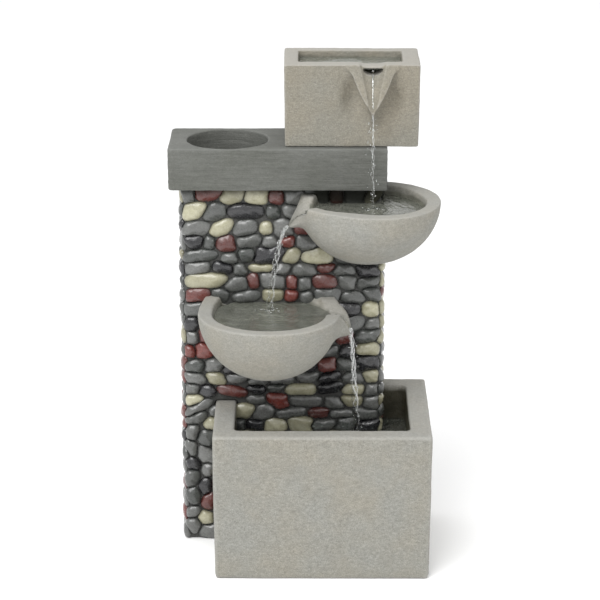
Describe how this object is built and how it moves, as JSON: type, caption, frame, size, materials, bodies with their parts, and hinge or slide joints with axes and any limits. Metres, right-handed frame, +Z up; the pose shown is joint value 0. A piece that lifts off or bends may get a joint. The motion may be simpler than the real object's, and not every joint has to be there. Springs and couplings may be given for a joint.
{
  "type": "tiered water fountain",
  "caption": "Free-standing tiered water fountain: a pebble-faced column with a spouted top reservoir, side bowls, a planter well and a square pump basin.",
  "frame": {"origin": "on the floor, at the middle of the overall width and depth", "axes": "+Z up; -Y is the front, where the basin and the bowls face; +X is to the right seen from the front"},
  "size_m": [0.384, 0.276, 0.72],
  "materials": {
    "cast_beige": "fine-grained resin-bonded cast stone, matt",
    "cast_grey": "brushed grey resin-bonded cast stone, matt",
    "mortar": "dark grey mortar-coloured casting, matt",
    "door_grey": "dark grey casting, matt",
    "pebble_grey": "glossy river pebble",
    "pebble_cream": "glossy river pebble",
    "pebble_red": "glossy river pebble",
    "pebble_black": "glossy river pebble",
    "steel": "stainless",
    "brass": "turned",
    "rubber": "soft black rubber",
    "black_plastic": "moulded, fine texture",
    "white_plastic": "moulded",
    "grey_plastic": "moulded",
    "clear_hose": "clear flexible vinyl hose",
    "lamination": "laminated steel",
    "copper": "enamelled copper wire",
    "ferrite": "sintered ferrite",
    "shaft_ceramic": "ground ceramic"
  },
  "bodies": {
    "root": {"basin_shell": "cast_beige", "column_front": "mortar", "column_left": "mortar", "column_right": "mortar", "column_rear": "mortar", "cap_slab": "cast_grey", "top_reservoir": "cast_beige", "lower_bowl": "cast_beige", "upper_bowl": "cast_beige", "pebbles_grey": "pebble_grey", "pebbles_cream": "pebble_cream", "pebbles_red": "pebble_red", "pebbles_black": "pebble_black", "bowl_bolts": "steel", "bowl_washers": "steel", "bowl_inserts": "brass", "cord_grommet": "rubber", "reservoir_fitting": "black_plastic", "fitting_seal": "rubber", "fitting_nut": "black_plastic", "riser_hose": "clear_hose", "hose_clips": "steel", "pump_motor_block": "black_plastic", "pump_volute": "black_plastic", "volute_seal": "rubber", "stator_core": "lamination", "stator_coil": "copper", "rotor_shaft": "shaft_ceramic", "shaft_bushes": "rubber", "suction_cups": "rubber"},
    "rotor": {"impeller": "white_plastic", "rotor_magnet": "ferrite"},
    "intake": {"intake_cover": "black_plastic"},
    "dial": {"flow_dial": "grey_plastic"},
    "door": {"rear_door": "door_grey"}
  },
  "joints": [
    {"name": "impeller_spin", "type": "hinge", "parent": "root", "child": "rotor", "pos_m": [0.017, 0.078, 0.05], "axis": [1, 0, 0], "continuous": true},
    {"name": "intake_cover_pull", "type": "slide", "parent": "root", "child": "intake", "axis": [-1, 0, 0], "range_m": [0, 0.03]},
    {"name": "flow_dial_turn", "type": "hinge", "parent": "intake", "child": "dial", "pos_m": [-0.02, 0.078, 0.05], "axis": [1, 0, 0], "range_deg": [0, 45]},
    {"name": "rear_door_lift_off", "type": "slide", "parent": "root", "child": "door", "axis": [0, 1, 0], "range_m": [0, 0.06]}
  ]
}
